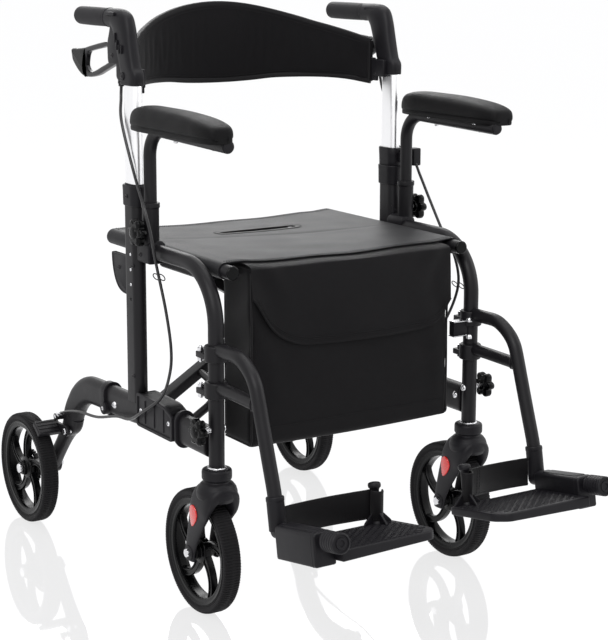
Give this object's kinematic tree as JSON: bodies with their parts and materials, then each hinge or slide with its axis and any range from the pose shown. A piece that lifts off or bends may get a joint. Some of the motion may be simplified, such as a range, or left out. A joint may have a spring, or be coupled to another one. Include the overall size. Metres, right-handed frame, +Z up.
{
  "type": "folding walker with seat",
  "caption": "Folding rollator walker and transport chair with sling seat, bag, backrest, armrests, swivel casters and swing-away flip-up footrests.",
  "frame": {"origin": "on the floor under the centre of the bounding box, between the two side frames", "axes": "+Z up, -Y forward towards the footrests, +X towards the user's left side"},
  "size_m": [0.641, 1.0691, 0.9558],
  "materials": {
    "frame_black": "satin black powder coat",
    "silver": "satin anodised",
    "plastic_black": "matte moulded",
    "rubber_black": "matte",
    "tyre": "ribbed matte",
    "fabric_black": "woven",
    "lever_grey": "satin grey"
  },
  "bodies": {
    "right_side": {"right_front_leg": "frame_black", "right_rail_saddle": "plastic_black", "right_rear_post": "frame_black", "right_post_collar": "plastic_black", "right_lower_beam": "frame_black", "right_brace_block": "plastic_black", "right_beam_clamp": "plastic_black", "right_rear_fork": "frame_black", "right_brake_cable": "rubber_black", "storage_bag": "fabric_black"},
    "left_side": {"left_front_leg": "frame_black", "left_rail_saddle": "plastic_black", "left_rear_post": "frame_black", "left_post_collar": "plastic_black", "left_lower_beam": "frame_black", "left_brace_block": "plastic_black", "left_beam_clamp": "plastic_black", "left_rear_fork": "frame_black", "left_brake_cable": "rubber_black"},
    "brace_a": {"brace_a": "frame_black", "seat_sling": "fabric_black"},
    "brace_b": {"brace_b": "frame_black"},
    "right_handle": {"right_handle_tube": "silver", "right_handle_housing": "plastic_black", "right_handle_grip": "rubber_black", "backrest": "fabric_black"},
    "right_lever": {"right_brake_lever": "lever_grey"},
    "right_brake": {"right_brake_arm": "frame_black"},
    "right_armrest": {"right_armrest_tube": "frame_black", "right_armrest_pad": "rubber_black"},
    "right_arm_knob": {"right_armrest_knob": "plastic_black"},
    "right_lock_knob": {"right_leg_knob": "plastic_black"},
    "right_caster": {"right_caster_fork": "plastic_black"},
    "right_caster_wheel": {"right_caster_rim": "plastic_black", "right_caster_tyre": "tyre"},
    "right_rear_wheel": {"right_rear_rim": "plastic_black", "right_rear_tyre": "tyre"},
    "right_hanger": {"right_footrest_hanger": "frame_black", "right_foot_pivot": "plastic_black", "right_heel_strap": "fabric_black"},
    "right_foot": {"right_footplate": "plastic_black"},
    "left_handle": {"left_handle_tube": "silver", "left_handle_housing": "plastic_black", "left_handle_grip": "rubber_black"},
    "left_lever": {"left_brake_lever": "lever_grey"},
    "left_brake": {"left_brake_arm": "frame_black"},
    "left_armrest": {"left_armrest_tube": "frame_black", "left_armrest_pad": "rubber_black"},
    "left_arm_knob": {"left_armrest_knob": "plastic_black"},
    "left_lock_knob": {"left_leg_knob": "plastic_black"},
    "left_caster": {"left_caster_fork": "plastic_black"},
    "left_caster_wheel": {"left_caster_rim": "plastic_black", "left_caster_tyre": "tyre"},
    "left_rear_wheel": {"left_rear_rim": "plastic_black", "left_rear_tyre": "tyre"},
    "left_hanger": {"left_footrest_hanger": "frame_black", "left_foot_pivot": "plastic_black", "left_heel_strap": "fabric_black"},
    "left_foot": {"left_footplate": "plastic_black"}
  },
  "joints": [
    {"name": "frame_fold", "type": "hinge", "parent": "right_side", "child": "brace_a", "pos_m": [-0.2205, 0, 0.287], "axis": [0, -1, 0], "range_deg": [0, 45.5], "deforming": ["seat_sling", "storage_bag", "backrest"]},
    {"name": "brace_cross", "type": "hinge", "parent": "brace_a", "child": "brace_b", "pos_m": [0, 0, 0.4227], "axis": [0, -1, 0], "range_deg": [-91, 0]},
    {"name": "left_side_hinge", "type": "hinge", "parent": "brace_b", "child": "left_side", "pos_m": [0.2205, 0, 0.287], "axis": [0, -1, 0], "range_deg": [0, 45.5]},
    {"name": "right_handle_slide", "type": "slide", "parent": "right_side", "child": "right_handle", "axis": [0, 0, 1], "range_m": [-0.054, 0.054], "deforming": ["right_brake_cable"]},
    {"name": "right_brake_squeeze", "type": "hinge", "parent": "right_handle", "child": "right_lever", "pos_m": [-0.2545, 0.125, 0.875], "axis": [1, 0, 0], "range_deg": [0, 13], "stiffness_Nm_per_rad": 1, "springref_deg": -17.19},
    {"name": "right_brake_shoe", "type": "hinge", "parent": "right_side", "child": "right_brake", "pos_m": [-0.261, 0.332, 0.189], "axis": [-1, 0, 0], "range_deg": [0, 2.7]},
    {"name": "right_armrest_height", "type": "slide", "parent": "right_side", "child": "right_armrest", "axis": [0, 0, 1], "range_m": [0, 0.04]},
    {"name": "right_armrest_knob_turn", "type": "hinge", "parent": "right_side", "child": "right_arm_knob", "pos_m": [-0.2723, 0.0185, 0.598], "axis": [1, 0, 0], "continuous": true},
    {"name": "right_leg_knob_turn", "type": "hinge", "parent": "right_side", "child": "right_lock_knob", "pos_m": [-0.2745, -0.182, 0.314], "axis": [1, 0, 0], "continuous": true},
    {"name": "right_caster_swivel", "type": "hinge", "parent": "right_side", "child": "right_caster", "pos_m": [-0.248, -0.182, 0.254], "axis": [0, 0, 1], "continuous": true},
    {"name": "right_caster_wheel_spin", "type": "hinge", "parent": "right_caster", "child": "right_caster_wheel", "pos_m": [-0.248, -0.133, 0.1015], "axis": [1, 0, 0], "continuous": true},
    {"name": "right_rear_wheel_spin", "type": "hinge", "parent": "right_side", "child": "right_rear_wheel", "pos_m": [-0.2985, 0.4325, 0.1015], "axis": [1, 0, 0], "continuous": true},
    {"name": "right_hanger_swing", "type": "hinge", "parent": "right_side", "child": "right_hanger", "pos_m": [-0.248, -0.182, 0.442], "axis": [0, 0, -1], "range_deg": [0, 90]},
    {"name": "right_footplate_flip", "type": "hinge", "parent": "right_hanger", "child": "right_foot", "pos_m": [-0.2465, -0.364, 0.2015], "axis": [0, -0.9848, 0.1736], "range_deg": [0, 94], "deforming": ["right_heel_strap"]},
    {"name": "left_handle_slide", "type": "slide", "parent": "left_side", "child": "left_handle", "axis": [0, 0, 1], "range_m": [-0.054, 0.054], "deforming": ["left_brake_cable"]},
    {"name": "left_brake_squeeze", "type": "hinge", "parent": "left_handle", "child": "left_lever", "pos_m": [0.2545, 0.125, 0.875], "axis": [1, 0, 0], "range_deg": [0, 13], "stiffness_Nm_per_rad": 1, "springref_deg": -17.19},
    {"name": "left_brake_shoe", "type": "hinge", "parent": "left_side", "child": "left_brake", "pos_m": [0.261, 0.332, 0.189], "axis": [-1, 0, 0], "range_deg": [0, 2.7]},
    {"name": "left_armrest_height", "type": "slide", "parent": "left_side", "child": "left_armrest", "axis": [0, 0, 1], "range_m": [0, 0.04]},
    {"name": "left_armrest_knob_turn", "type": "hinge", "parent": "left_side", "child": "left_arm_knob", "pos_m": [0.2723, 0.0185, 0.598], "axis": [1, 0, 0], "continuous": true},
    {"name": "left_leg_knob_turn", "type": "hinge", "parent": "left_side", "child": "left_lock_knob", "pos_m": [0.2745, -0.182, 0.314], "axis": [1, 0, 0], "continuous": true},
    {"name": "left_caster_swivel", "type": "hinge", "parent": "left_side", "child": "left_caster", "pos_m": [0.248, -0.182, 0.254], "axis": [0, 0, 1], "continuous": true},
    {"name": "left_caster_wheel_spin", "type": "hinge", "parent": "left_caster", "child": "left_caster_wheel", "pos_m": [0.248, -0.133, 0.1015], "axis": [1, 0, 0], "continuous": true},
    {"name": "left_rear_wheel_spin", "type": "hinge", "parent": "left_side", "child": "left_rear_wheel", "pos_m": [0.2985, 0.4325, 0.1015], "axis": [1, 0, 0], "continuous": true},
    {"name": "left_hanger_swing", "type": "hinge", "parent": "left_side", "child": "left_hanger", "pos_m": [0.248, -0.182, 0.442], "axis": [0, 0, 1], "range_deg": [0, 90]},
    {"name": "left_footplate_flip", "type": "hinge", "parent": "left_hanger", "child": "left_foot", "pos_m": [0.2465, -0.364, 0.2015], "axis": [0, 0.9848, -0.1736], "range_deg": [0, 94], "deforming": ["left_heel_strap"]}
  ],
  "couplings": [
    {"joint": "brace_cross", "follows": "frame_fold", "ratio": -2},
    {"joint": "left_side_hinge", "follows": "frame_fold", "ratio": 1},
    {"joint": "right_brake_shoe", "follows": "right_brake_squeeze", "ratio": 0.2},
    {"joint": "right_footplate_flip", "follows": "frame_fold", "ratio": 2},
    {"joint": "left_brake_shoe", "follows": "left_brake_squeeze", "ratio": 0.2},
    {"joint": "left_footplate_flip", "follows": "frame_fold", "ratio": 2},
    {"joint": "left_handle_slide", "follows": "right_handle_slide", "ratio": 1}
  ]
}
